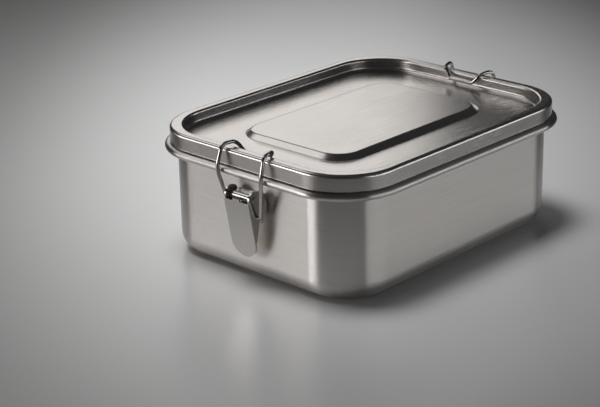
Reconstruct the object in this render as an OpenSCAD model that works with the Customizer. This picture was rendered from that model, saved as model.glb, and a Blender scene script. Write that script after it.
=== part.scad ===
// Stainless steel lunch box: a deep tub, a recessed pressed lid with a silicone seal,
// and an over-centre wire latch on each short end.
// Millimetres. +X along the long side, +Z up, origin at the centre of the base.

/* [Box] */
// Length over the lid rim, without the rolled bead
lid_l = 160; // [130:1:200]
// Width over the lid rim, without the rolled bead
lid_w = 125.4; // [105:0.2:160]
// Height from the base to the top of the lid rim
rim_z = 60; // [56:0.5:90]
// Corner radius of the lid rim, in plan
lid_r = 27.5; // [22:0.5:34]
// Sheet thickness of the tub and the lid
sheet = 0.6; // [0.5:0.05:0.8]

/* [Tub] */
// Bend radius between the wall and the base, outside
base_r = 8.5; // [5:0.5:12]
// How far the lid rim stands out past the tub wall
lid_over = 3.35; // [3:0.05:4.5]
// Outer radius of the rolled bead under the lid
bead_r = 1.7; // [1.4:0.05:1.8]
// How far the bead stands out past the lid rim
bead_over = 2.5; // [2:0.1:3]

/* [Lid] */
// Width of the raised rim around the recess
rim_w = 4.95; // [4.5:0.05:7]
// Corner radius of the recess, in plan
recess_r = 25.9; // [22:0.1:32]
// Depth of the recess below the rim
recess_d = 5.8; // [4.6:0.1:6.5]
// Length of the raised panel in the recess, at its top
panel_l = 99.2; // [70:0.2:120]
// Width of the raised panel in the recess, at its top
panel_w = 61; // [40:0.2:84]
// Corner radius of the raised panel
panel_r = 11.4; // [8:0.2:18]
// Height of the raised panel above the recess floor
panel_h = 2.4; // [1.5:0.1:3]
// Plan width of the slope around the raised panel
panel_slope = 3; // [2:0.1:5]

/* [Latches] */
// Place of the left latch along its end wall, from the centre
left_latch_y = -2; // [-10:0.5:10]
// Place of the right latch along its end wall, from the centre
right_latch_y = 0; // [-10:0.5:10]
// Width of the lever over its side flanges
lever_w = 15; // [12:0.5:18]
// Sheet thickness of the lever and the bracket
lever_t = 0.8; // [0.6:0.1:1]
// Length of the lever's tongue
tongue_l = 27.6; // [22:0.2:29]
// Tilt of the tongue away from the wall
tongue_tilt = 10.2; // [4:0.2:14]
// Diameter of the bail wire
wire_d = 1.8; // [1.4:0.1:2]
// Diameter of the hinge pin
pin_d = 2.2; // [1.8:0.1:2.4]

/* [Output] */
// Sub-part to draw

/* [Hidden] */
$fn = 96;
// Tub wall: corner centres in plan, corner radius, and the plane of the end wall
wall_r = lid_r - lid_over;
corner = [lid_l / 2 - lid_r, lid_w / 2 - lid_r];
wall_x = lid_l / 2 - lid_over;
// Rolled bead and the flange that carries it
bead_w = lid_over + bead_over - bead_r;
bead_z = rim_z - 9.6;
flange_z = bead_z + bead_r - sheet / 2;
skirt_z = bead_z + bead_r + 0.3;
// Lid rim and recess
top_z = rim_z - sheet / 2;
floor_z = rim_z - recess_d - sheet / 2;
recess_corner = [lid_l / 2 - rim_w - recess_r, lid_w / 2 - rim_w - recess_r];
panel_corner = [panel_l / 2 - panel_r, panel_w / 2 - panel_r];
panel_z = floor_z + panel_h;
// Latch points as [distance out from the wall, height]
hinge = [5.4, rim_z - 19];
pivot = [4.0, rim_z - 27.5];
tongue_top = [9.7, rim_z - 20.2];
ear_r = 4;
barrel_r = 1.8;
running = 0.05;
bend_step = 12;
wire_sides = 18;
flange_y = lever_w / 2;
tongue_r = flange_y - 0.05;
// Half of the bail's centre line, as [distance out from the wall, sideways, height]
bail_path = [
    [pivot[0], flange_y - 0.4, pivot[1]],
    [pivot[0], flange_y + 1.7, pivot[1]],
    [7.1, 13.0, rim_z - 11],
    [7.2, 13.3, rim_z - 6.8],
    [4.5, 12.8, rim_z + 2.0],
    [-2.6, 11.4, rim_z + 2.1],
    [-4.1, 7.0, rim_z - 3.0],
    [-4.1, 0, rim_z - 3.0]
];
bail_bends = [0, 1.4, 8, 6, 3.6, 3.6, 1.3, 0];

steel = [0.66, 0.64, 0.61];
bright = [0.72, 0.71, 0.70];
silicone = [0.88, 0.88, 0.86];

// Unit vector along v
function unit(v) = v / norm(v);
// Turn in degrees between the two legs at bend i of path p
function turn(p, i) = acos(max(-1, min(1, unit(p[i] - p[i - 1]) * unit(p[i + 1] - p[i]))));
// Length that bend i takes from each of its legs
function setback(p, r, i) = (i <= 0 || i >= len(p) - 1) ? 0 : r[i] * tan(turn(p, i) / 2);

// Rounded rectangle in plan, around corner centres c with corner radius r
module plate(c, r) {
    square([2 * c[0], 2 * (c[1] + r)], center = true);
    square([2 * (c[0] + r), 2 * c[1]], center = true);
    for (sx = [-1, 1], sy = [-1, 1]) translate([sx * c[0], sy * c[1]]) circle(r);
}

// Sweeps a profile drawn as [radius from the corner centre, height] round the box
module sweep_round(c) {
    for (q = [0:3]) {
        sx = (q == 0 || q == 3) ? 1 : -1;
        sy = (q < 2) ? 1 : -1;
        translate([sx * c[0], sy * c[1], 0]) rotate([0, 0, 90 * q]) rotate_extrude(angle = 90) children();
    }
    for (s = [0, 180]) {
        rotate([0, 0, s]) translate([c[0], c[1], 0]) rotate([90, 0, 0]) linear_extrude(2 * c[1]) children();
        rotate([0, 0, s + 90]) translate([c[1], c[0], 0]) rotate([90, 0, 0])
            linear_extrude(2 * c[0]) children();
    }
}

// Band of thickness t along a path of straight legs joined by round bends (2D).
// Each leg runs on into its bends by lap.
module strip(p, r, t, lap = 0) {
    n = len(p);
    for (i = [0:n - 2]) {
        d = unit(p[i + 1] - p[i]);
        a = setback(p, r, i) - (i > 0 ? lap : 0);
        b = setback(p, r, i + 1) - (i < n - 2 ? lap : 0);
        translate(p[i] + d * a) rotate(atan2(d[1], d[0])) translate([0, -t / 2])
            square([norm(p[i + 1] - p[i]) - a - b, t]);
    }
    for (i = [1:1:n - 2]) strip_bend(p[i], unit(p[i - 1] - p[i]), unit(p[i + 1] - p[i]), r[i], t);
}

// One round bend at point q between the directions a and b (2D)
module strip_bend(q, a, b, r, t) {
    half = acos(max(-1, min(1, a * b))) / 2;
    c = q + unit(a + b) * r / sin(half);
    reach = r / tan(half);
    k = 3;
    intersection() {
        translate(c) difference() {
            circle(r + t / 2);
            if (r > t / 2) circle(r - t / 2);
        }
        polygon([c, c + (q + a * reach - c) * k, c + (q - c) * k, c + (q + b * reach - c) * k]);
    }
}

// Points round bend i of path p, from one tangent point to the other
function bend(p, r, i) =
    let (
        a = unit(p[i - 1] - p[i]),
        b = unit(p[i + 1] - p[i]),
        half = acos(max(-1, min(1, a * b))) / 2,
        c = p[i] + unit(a + b) * r / sin(half),
        x = unit(p[i] + a * r / tan(half) - c),
        y = unit(cross(cross(x, unit(p[i] - c)), x)),
        n = ceil((180 - 2 * half) / bend_step)
    )
    [for (k = [0:n]) let (t = (180 - 2 * half) * k / n) c + r * (x * cos(t) + y * sin(t))];

// The whole centre line: the ends, and short chords round each bend
function round_path(p, r) = concat(
    [p[0]],
    [for (i = [1:1:len(p) - 2]) each bend(p, r[i], i)],
    [p[len(p) - 1]]
);

// Direction of the path at point i
function heading(p, i) =
    unit(
        (i < len(p) - 1 ? unit(p[i + 1] - p[i]) : [0, 0, 0]) + (i > 0 ? unit(p[i] - p[i - 1]) : [0, 0, 0])
    );

// Ring of wire_sides points round the path at point i
function ring(p, i, d) =
    let (t = heading(p, i), u = unit(cross(t, [1, 1, 0])), v = cross(t, u))
    [for (k = [0:wire_sides - 1]) p[i] + d / 2 * (u * cos(k * 360 / wire_sides) + v * sin(k * 360 / wire_sides))];

// Round wire of diameter d, swept along the points p
module wire(p, d) {
    n = len(p);
    m = wire_sides;
    polyhedron(
        points = [for (i = [0:n - 1]) each ring(p, i, d)],
        faces = concat(
            [[for (k = [0:m - 1]) k]],
            [[for (k = [m - 1:-1:0]) (n - 1) * m + k]],
            [
                for (i = [0:n - 2], k = [0:m - 1]) each
                    let (a = i * m + k, b = i * m + (k + 1) % m)
                    [[a, a + m, b + m], [a, b + m, b]]
            ]
        )
    );
}

// Draws a [distance out, height] profile as a slab of width w, centred on y across the latch
module slab(w, y = 0) {
    translate([0, y + w / 2, 0]) rotate([90, 0, 0]) linear_extrude(w) children();
}

// Stands a latch piece against the left or the right end wall
module at_left() { translate([-wall_x, left_latch_y, 0]) rotate([0, 0, 180]) children(); }
module at_right() { translate([wall_x, right_latch_y, 0]) children(); }

module tub() {
    color(steel) {
        linear_extrude(sheet) plate(corner, wall_r - base_r);
        sweep_round(corner) {
            strip(
                [
                    [wall_r - base_r - 0.5, sheet / 2],
                    [wall_r - sheet / 2, sheet / 2],
                    [wall_r - sheet / 2, flange_z],
                    [wall_r + bead_w, flange_z]
                ],
                [0, base_r - sheet / 2, 1.2, 0],
                sheet
            );
            translate([wall_r + bead_w, bead_z]) difference() {
                circle(bead_r);
                circle(bead_r - sheet);
            }
        }
    }
}

module lid() {
    color(steel) {
        // Skirt and the outer edge of the rim
        sweep_round(corner) strip(
            [[lid_r - sheet / 2, skirt_z], [lid_r - sheet / 2, top_z], [lid_r - 2.2, top_z]],
            [0, 1.3, 0],
            sheet
        );
        // Flat top of the rim
        translate([0, 0, rim_z - sheet]) linear_extrude(sheet) difference() {
            plate(corner, lid_r - 1.9);
            plate(recess_corner, recess_r + 1.4);
        }
        // Inner edge of the rim, recess wall and the start of the recess floor
        sweep_round(recess_corner) strip(
            [
                [recess_r + 1.6, top_z],
                [recess_r + sheet / 2, top_z],
                [recess_r + sheet / 2, floor_z],
                [recess_r - 3, floor_z]
            ],
            [0, 0.9, 1.8, 0],
            sheet
        );
        // Recess floor
        translate([0, 0, floor_z - sheet / 2]) linear_extrude(sheet) difference() {
            plate(recess_corner, recess_r - 2.6);
            plate(panel_corner, panel_r + panel_slope + 1.6);
        }
        // Raised panel
        sweep_round(panel_corner) strip(
            [
                [panel_r + panel_slope + 2, floor_z],
                [panel_r + panel_slope, floor_z],
                [panel_r, panel_z],
                [panel_r - 2, panel_z]
            ],
            [0, 1.8, 1.8, 0],
            sheet,
            0.02
        );
        translate([0, 0, panel_z - sheet / 2]) linear_extrude(sheet) plate(panel_corner, panel_r - 1.6);
    }
}

module seal() {
    color(silicone) translate([0, 0, skirt_z]) linear_extrude(rim_z - 1.8 - skirt_z) difference() {
        plate(corner, lid_r - sheet - 0.15);
        plate(recess_corner, recess_r + sheet + 0.15);
    }
}

// Leaf on the wall, strap over to the hinge line, and the barrel round the pin
module bracket() {
    w = lever_w - 2 * lever_t - 0.6;
    strap_z = hinge[1] + barrel_r - lever_t / 2;
    color(steel) {
        slab(w) difference() {
            union() {
                strip(
                    [[lever_t / 2, pivot[1] - 4], [lever_t / 2, strap_z], [hinge[0], strap_z]],
                    [0, 1, 0],
                    lever_t
                );
                translate(hinge) circle(barrel_r);
            }
            translate(hinge) circle(pin_d / 2 + running);
        }
    }
}

module hinge_pin() {
    color(bright) translate([hinge[0], 0, hinge[1]]) rotate([90, 0, 0]) {
        cylinder(d = pin_d, h = lever_w + 0.1, center = true);
        for (s = [-1, 1]) translate([0, 0, s * (lever_w / 2 + 0.3)]) cylinder(r = 1.6, h = 0.5, center = true);
    }
}

// Outline of one side flange of the lever, as [distance out, height]
module flange_outline() {
    down = [-sin(tongue_tilt), -cos(tongue_tilt)];
    inset = [-0.15, 0];
    low = tongue_top + down * tongue_l * 0.7 + inset;
    translate(hinge) circle(ear_r);
    translate(pivot) circle(2.2);
    polygon([
        hinge + [-0.925 * ear_r, 0.2 * ear_r],
        pivot + [-2, -0.4],
        pivot + [-1.3, -1.4],
        low + [-1.2, 0.3],
        low,
        tongue_top + down * 1.5 + 2 * inset,
        hinge + [0.9 * ear_r, 0.12 * ear_r]
    ]);
}

module lever() {
    color(bright) {
        // Tongue with a half-round end, and the small tab on its top edge
        translate([tongue_top[0], 0, tongue_top[1]]) rotate([0, tongue_tilt - 90, 0]) linear_extrude(lever_t) {
            translate([tongue_r - tongue_l, -tongue_r]) square([tongue_l - tongue_r, 2 * tongue_r]);
            translate([tongue_r - tongue_l, 0]) circle(tongue_r);
            translate([-0.5, -2]) square([1.6, 4]);
        }
        // Side flanges with the hinge and bail holes
        for (s = [-1, 1]) slab(lever_t, s * (flange_y - lever_t / 2)) difference() {
            flange_outline();
            translate(hinge) circle(pin_d / 2 + running);
            translate(pivot) circle(wire_d / 2 + running);
        }
    }
}

module bail() {
    half = round_path(bail_path, bail_bends);
    n = len(half);
    color(bright) {
        wire(
            concat(
                [for (i = [0:n - 2]) half[i]],
                [for (i = [n - 2:-1:0]) [half[i][0], -half[i][1], half[i][2]]]
            ),
            wire_d - 0.01
        );
        // True round ends, which turn in the lever's flanges
        for (s = [-1, 1]) slab(2, s * (flange_y - 0.4)) translate(pivot) circle(d = wire_d);
    }
}

module bracket_left() { at_left() bracket(); }
module hinge_pin_left() { at_left() hinge_pin(); }
module lever_left() { at_left() lever(); }
module bail_left() { at_left() bail(); }
module bracket_right() { at_right() bracket(); }
module hinge_pin_right() { at_right() hinge_pin(); }
module lever_right() { at_right() lever(); }
module bail_right() { at_right() bail(); }

tub();
lid();
seal();
bracket_left();
hinge_pin_left();
lever_left();
bail_left();
bracket_right();
hinge_pin_right();
lever_right();
bail_right();
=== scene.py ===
import math

import bmesh
import bpy
from mathutils import Matrix, Vector

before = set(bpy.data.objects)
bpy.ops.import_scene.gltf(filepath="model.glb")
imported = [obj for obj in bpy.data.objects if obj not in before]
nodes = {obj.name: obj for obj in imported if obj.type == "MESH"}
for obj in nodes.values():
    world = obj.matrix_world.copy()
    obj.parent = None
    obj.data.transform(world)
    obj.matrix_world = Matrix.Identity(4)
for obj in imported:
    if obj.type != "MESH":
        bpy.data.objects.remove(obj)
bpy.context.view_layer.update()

# Lengths are in metres and angles in degrees. Azimuths run from +X towards +Y.

# Camera: where it stands, and the way it looks
CAMERA_PLACE = (-0.56411, -0.49758, 0.30102)
CAMERA_AZIMUTH = 43.74
CAMERA_DOWN = 20.91
CAMERA_ROLL = -1.31
CAMERA_SENSOR = 36
CAMERA_LENS = 101.98

# Colours of the steels and of the light
STEEL = (0.66, 0.63, 0.605)
LATCH_STEEL = (0.68, 0.655, 0.63)
WIRE_STEEL = (0.62, 0.61, 0.60)
SKY = (0.93, 0.95, 1.0)
WARM_WHITE = (1.0, 0.985, 0.965)
SOFT_WHITE = (1.0, 0.99, 0.98)
COOL_WHITE = (0.98, 0.99, 1.0)
POOL_WHITE = (1.0, 0.995, 0.99)

# Directions in which the steels smear their reflections
ACROSS_WALLS = (0, 0.12, 1)
ACROSS_LID = (0, 1, 0.5)
ACROSS_LATCH = (0, 1, 0)

# Floor: half its size, the oval of a painted pool of light round which its greys are laid, the
# place on the ramp at the oval's edge, and the greys of the painted shade as pairs of a place on
# the ramp and a brightness.
FLOOR_HALF = 6
PAINTED_POOL_CENTRE = (0.165, 0.135, 0)
PAINTED_POOL_AZIMUTH = 43.7
PAINTED_POOL_HALF_SIZES = (0.45, 0.18, 1)
PAINTED_SHADE_PER_POOL = 0.6
FLOOR_PAINTED_SHADES = [(0.0, 0.66), (0.34, 0.62), (0.53, 0.42), (0.73, 0.13), (0.97, 0.02)]
FLOOR_BLUE = 1.006

# Each upright panel faces a point above the origin, at this share of the panel's height
AIM_SHARE = 0.6

# Points of a swept wire closer than this are one
WELD_GAP = 0.000005


# ---------------------------------------------------------------- camera
def add_camera():
    """Long lens, from the left front corner, looking down on the lid."""
    az, el, roll = (math.radians(a) for a in (CAMERA_AZIMUTH, CAMERA_DOWN, CAMERA_ROLL))
    ahead = Vector((math.cos(az) * math.cos(el), math.sin(az) * math.cos(el), -math.sin(el)))
    level = ahead.cross(Vector((0, 0, 1))).normalized()
    above = level.cross(ahead)
    right = level * math.cos(roll) + above * math.sin(roll)
    up = -level * math.sin(roll) + above * math.cos(roll)
    cam = bpy.data.cameras.new("camera")
    cam.sensor_width = CAMERA_SENSOR
    cam.lens = CAMERA_LENS
    cam.clip_start = 0.05
    cam.clip_end = 30
    ob = bpy.data.objects.new("camera", cam)
    matrix = Matrix((right, up, -ahead)).transposed().to_4x4()
    matrix.translation = Vector(CAMERA_PLACE)
    ob.matrix_world = matrix
    bpy.context.scene.collection.objects.link(ob)
    bpy.context.scene.camera = ob


# ---------------------------------------------------------------- materials
def shade(color, factor):
    """A colour made darker or lighter, kept at or below 1."""
    return tuple(min(1, c * factor) for c in color)


class Nodes:
    """Small helper that builds a node material on one Principled shader."""

    # Radius that the bump gives to the sharp edges of the sheet
    edge = 0.0002

    def __init__(self, name, color, metallic, roughness):
        self.mat = bpy.data.materials.new(name)
        self.mat.use_nodes = True
        self.tree = self.mat.node_tree
        self.bsdf = self.tree.nodes["Principled BSDF"]
        self.bsdf.inputs["Base Color"].default_value = (*color, 1)
        self.bsdf.inputs["Metallic"].default_value = metallic
        self.bsdf.inputs["Roughness"].default_value = roughness
        self.coords = self.add("ShaderNodeTexCoord").outputs["Object"]

    def add(self, kind, **values):
        n = self.tree.nodes.new(kind)
        for k, v in values.items():
            setattr(n, k, v)
        return n

    def link(self, a, b):
        self.tree.links.new(a, b)

    def noise(self, scale, stretch=(1, 1, 1), detail=3, rough=0.6):
        m = self.add("ShaderNodeMapping")
        m.inputs["Scale"].default_value = stretch
        self.link(self.coords, m.inputs["Vector"])
        n = self.add("ShaderNodeTexNoise")
        n.inputs["Scale"].default_value = scale
        n.inputs["Detail"].default_value = detail
        n.inputs["Roughness"].default_value = rough
        self.link(m.outputs["Vector"], n.inputs["Vector"])
        return n.outputs["Fac"]

    def remap(self, value, low, high, from_low=0.3, from_high=0.7):
        n = self.add("ShaderNodeMapRange")
        n.inputs["From Min"].default_value = from_low
        n.inputs["From Max"].default_value = from_high
        n.inputs["To Min"].default_value = low
        n.inputs["To Max"].default_value = high
        self.link(value, n.inputs["Value"])
        return n.outputs["Result"]

    def math(self, op, a, b):
        n = self.add("ShaderNodeMath", operation=op)
        for socket, v in zip(n.inputs, (a, b)):
            if isinstance(v, (int, float)):
                socket.default_value = v
            else:
                self.link(v, socket)
        return n.outputs[0]

    def mix(self, fac, a, b):
        n = self.add("ShaderNodeMix", data_type="RGBA")
        for i, v in ((6, a), (7, b)):
            if isinstance(v, tuple):
                n.inputs[i].default_value = (*v, 1)
            else:
                self.link(v, n.inputs[i])
        self.link(fac, n.inputs[0])
        return n.outputs[2]

    def bump(self, *layers):
        """Each layer is (height, strength, distance in metres)."""
        edge = self.add("ShaderNodeBevel", samples=4)
        edge.inputs["Radius"].default_value = self.edge
        normal = edge.outputs["Normal"]
        for height, strength, distance in layers:
            n = self.add("ShaderNodeBump")
            n.inputs["Strength"].default_value = strength
            n.inputs["Distance"].default_value = distance
            self.link(height, n.inputs["Height"])
            self.link(normal, n.inputs["Normal"])
            normal = n.outputs["Normal"]
        self.link(normal, self.bsdf.inputs["Normal"])

    def wear_and_edge_highlight(self, radius=0.0012):
        """1 on convex edges, 0 on flat faces: rubbed corners of the sheet, and a painted highlight
        along the edges.
        """
        b = self.add("ShaderNodeBevel", samples=4)
        b.inputs["Radius"].default_value = radius
        g = self.add("ShaderNodeNewGeometry")
        d = self.add("ShaderNodeVectorMath", operation="DOT_PRODUCT")
        self.link(b.outputs["Normal"], d.inputs[0])
        self.link(g.outputs["Normal"], d.inputs[1])
        return self.remap(d.outputs["Value"], 1, 0, 0.9, 1.0)


def brushed_steel(name, color, roughness, grain_scale, across, aniso=0.9, streak=1.0, wave=0.00006):
    """Satin stainless steel. grain_scale stretches the fine scratches, across is the
    direction at right angles to them in which reflections smear, and wave is the height
    of the sheet's slow unevenness."""
    n = Nodes(name, color, 1.0, roughness)
    grain = n.noise(1.0, grain_scale, 5, 0.75)
    fine = n.noise(2.3, grain_scale, 3, 0.6)
    cloud = n.noise(26, detail=3)
    speck = n.noise(520, detail=2)
    dark = shade(color, 1 - 0.10 * streak)
    light = shade(color, 1 + 0.06 * streak)
    body = n.mix(n.remap(grain, 0, 1, 0.3, 0.7), dark, light)
    body = n.mix(n.remap(cloud, 0, 0.4), body, shade(color, 0.95))
    # Convex edges made lighter: rubbed corners of the sheet and a painted edge highlight.
    body = n.mix(n.math("MULTIPLY", n.wear_and_edge_highlight(), 0.3), body, shade(color, 1.2))
    n.link(body, n.bsdf.inputs["Base Color"])
    rough = n.remap(fine, roughness * 0.88, roughness * 1.14, 0.3, 0.7)
    rough = n.math("ADD", rough, n.remap(cloud, -0.012, 0.018))
    rough = n.math("ADD", rough, n.remap(speck, 0, 0.02, 0.64, 0.8))
    n.link(rough, n.bsdf.inputs["Roughness"])
    n.bump((n.noise(14, detail=1), 0.4, wave), (grain, 0.05, 0.00001))
    n.bsdf.inputs["Anisotropic"].default_value = aniso
    tangent = n.add("ShaderNodeCombineXYZ")
    for socket, v in zip(tangent.inputs, across):
        socket.default_value = v
    n.link(tangent.outputs[0], n.bsdf.inputs["Tangent"])
    return n.mat


def wire_steel(name, color):
    """Drawn spring wire: bright, with faint die lines and rubbed spots."""
    n = Nodes(name, color, 1.0, 0.09)
    line = n.noise(1.0, (500, 500, 60), 3, 0.6)
    cloud = n.noise(160, detail=2)
    body = n.mix(n.remap(line, 0, 1), shade(color, 0.86), shade(color, 1.06))
    body = n.mix(n.remap(cloud, 0, 0.25, 0.5, 0.7), body, shade(color, 0.7))
    n.link(body, n.bsdf.inputs["Base Color"])
    n.link(n.remap(cloud, 0.07, 0.14), n.bsdf.inputs["Roughness"])
    n.bump((line, 0.08, 0.00002))
    return n.mat


def silicone(name):
    """Matt, slightly translucent white rubber with a faint mould bloom."""
    n = Nodes(name, (0.78, 0.78, 0.75), 0.0, 0.48)
    bloom = n.noise(60, detail=4)
    body = n.mix(n.remap(bloom, 0, 1), (0.72, 0.72, 0.69), (0.84, 0.84, 0.81))
    n.link(body, n.bsdf.inputs["Base Color"])
    n.link(n.remap(bloom, 0.42, 0.58), n.bsdf.inputs["Roughness"])
    n.bsdf.inputs["Subsurface Weight"].default_value = 0.2
    n.bsdf.inputs["Subsurface Scale"].default_value = 0.002
    n.bump((n.noise(900, detail=2), 0.05, 0.00005))
    return n.mat


def floor_material():
    """Pale satin studio paper with a painted pool of light: painted shade turns it grey outside a
    long oval round the box.
    """
    n = Nodes("floor_painted_pool", (0.6, 0.6, 0.6), 0.0, 0.3)
    n.bsdf.inputs["IOR"].default_value = 1.62
    fibre = n.noise(900, detail=4)
    cloud = n.noise(3, detail=2)
    # Painted shade: the floor's grey darkens with distance from the oval, a painted pool of light.
    painted_pool = n.add("ShaderNodeMapping", vector_type="TEXTURE")
    painted_pool.inputs["Location"].default_value = PAINTED_POOL_CENTRE
    painted_pool.inputs["Rotation"].default_value = (0, 0, math.radians(PAINTED_POOL_AZIMUTH))
    painted_pool.inputs["Scale"].default_value = PAINTED_POOL_HALF_SIZES
    n.link(n.coords, painted_pool.inputs["Vector"])
    far = n.add("ShaderNodeVectorMath", operation="LENGTH")
    n.link(painted_pool.outputs[0], far.inputs[0])
    painted_shade_ramp = n.add("ShaderNodeValToRGB")
    painted_shade_ramp.color_ramp.interpolation = "B_SPLINE"
    for e, (at, v) in zip(painted_shade_ramp.color_ramp.elements, FLOOR_PAINTED_SHADES):
        e.position, e.color = at, (v, v, v * FLOOR_BLUE, 1)
    for at, v in FLOOR_PAINTED_SHADES[2:]:
        e = painted_shade_ramp.color_ramp.elements.new(at)
        e.color = (v, v, v * FLOOR_BLUE, 1)
    n.link(n.math("MULTIPLY", far.outputs["Value"], PAINTED_SHADE_PER_POOL), painted_shade_ramp.inputs[0])
    body = n.mix(n.remap(fibre, 0, 0.04), painted_shade_ramp.outputs[0], (0.5, 0.5, 0.5))
    n.link(body, n.bsdf.inputs["Base Color"])
    n.link(n.remap(cloud, 0.29, 0.32), n.bsdf.inputs["Roughness"])
    n.bump((fibre, 0.03, 0.00005))
    return n.mat


def dress(ob, mat):
    ob.data.materials.clear()
    ob.data.materials.append(mat)


def smooth_wire(ob):
    """Joins the facets of a swept wire and shades it round."""
    ob.data.shade_smooth()
    weld = ob.modifiers.new("weld", "WELD")
    weld.merge_threshold = WELD_GAP


# ---------------------------------------------------------------- stage
def add_light(name, kind, place, aim, energy, color):
    data = bpy.data.lights.new(name, kind)
    data.energy = energy
    data.color = color
    ob = bpy.data.objects.new(name, data)
    ob.location = place
    ob.rotation_euler = (Vector(aim) - Vector(place)).to_track_quat("-Z", "Y").to_euler()
    bpy.context.scene.collection.objects.link(ob)
    return ob


def soft_box(name, place, aim, width, tall, radiance, color):
    """A rectangular light whose face looks as bright as radiance says, whatever its size."""
    ob = add_light(name, "AREA", place, aim, radiance * math.pi * width * tall, color)
    ob.data.shape = "RECTANGLE"
    ob.data.size, ob.data.size_y = width, tall
    return ob


def panel(name, azimuth, distance, height, width, tall, radiance, color):
    """Upright soft box at that azimuth from the object, facing it."""
    a = math.radians(azimuth)
    place = (distance * math.cos(a), distance * math.sin(a), height)
    return soft_box(name, place, (0, 0, height * AIM_SHARE), width, tall, radiance, color)


def add_floor():
    me = bpy.data.meshes.new("floor")
    bm = bmesh.new()
    bmesh.ops.create_grid(bm, x_segments=2, y_segments=2, size=FLOOR_HALF)
    bm.to_mesh(me)
    bm.free()
    floor = bpy.data.objects.new("floor", me)
    bpy.context.scene.collection.objects.link(floor)
    me.materials.append(floor_material())


def add_world():
    world = bpy.data.worlds.new("studio")
    world.use_nodes = True
    background = world.node_tree.nodes["Background"]
    background.inputs["Color"].default_value = (*SKY, 1)
    background.inputs["Strength"].default_value = 0.03
    bpy.context.scene.world = world


def add_lights():
    # name, azimuth, distance, height, width, tall, radiance, colour
    # High panel behind the box, mirrored by the lid, which ends level with the lid's right end
    panel("back_panel", 53, 1.53, 0.85, 0.86, 0.94, 1.12, WARM_WHITE)
    # Low panels to the left, mirrored by the end wall and the near corner
    panel("left_panel", 137, 0.85, 0.12, 0.55, 0.22, 2.45, SOFT_WHITE)
    panel("left_strip", 154, 0.84, 0.13, 0.25, 0.24, 4.1, SOFT_WHITE)
    # Low panel to the right front, mirrored by the long wall
    panel("right_panel", 294, 0.95, 0.11, 1.3, 0.2, 2.0, COOL_WHITE)
    # Soft box high at the back left, mirrored by the slopes that face left
    soft_box("high_panel", (-0.25, 0.80, 0.92), (0, 0, 0), 0.6, 0.6, 1.15, SOFT_WHITE)
    # Overhead pool on the floor, kept out of the steel's reflections
    pool = add_light("pool", "SPOT", (-0.10, 0.26, 1.15), (0.01, 0.13, 0), 58, POOL_WHITE)
    pool.data.shadow_soft_size = 0.3
    pool.data.spot_size = math.radians(46)
    pool.data.spot_blend = 1.0
    pool.visible_glossy = False


# ---------------------------------------------------------------- build
add_camera()
add_floor()
add_world()
add_lights()

tub_mat = brushed_steel("tub_steel", STEEL, 0.31, (25, 25, 2600), ACROSS_WALLS, aniso=0.93)
lid_mat = brushed_steel(
    "lid_steel", STEEL, 0.24, (30, 2200, 2200), ACROSS_LID, aniso=0.5, streak=0.7, wave=0.00002
)
latch_mat = brushed_steel(
    "latch_steel", LATCH_STEEL, 0.15, (1800, 1800, 30), ACROSS_LATCH, aniso=0.3, streak=0.5
)
wire_mat = wire_steel("wire_steel", WIRE_STEEL)
seal_mat = silicone("silicone")

dress(nodes["tub"], tub_mat)
dress(nodes["lid"], lid_mat)
dress(nodes["seal"], seal_mat)
for side in ("left", "right"):
    for part in ("bracket", "hinge_pin", "lever"):
        dress(nodes[f"{part}_{side}"], latch_mat)
    dress(nodes[f"bail_{side}"], wire_mat)
    smooth_wire(nodes[f"bail_{side}"])

bpy.context.scene.view_settings.view_transform = "Standard"
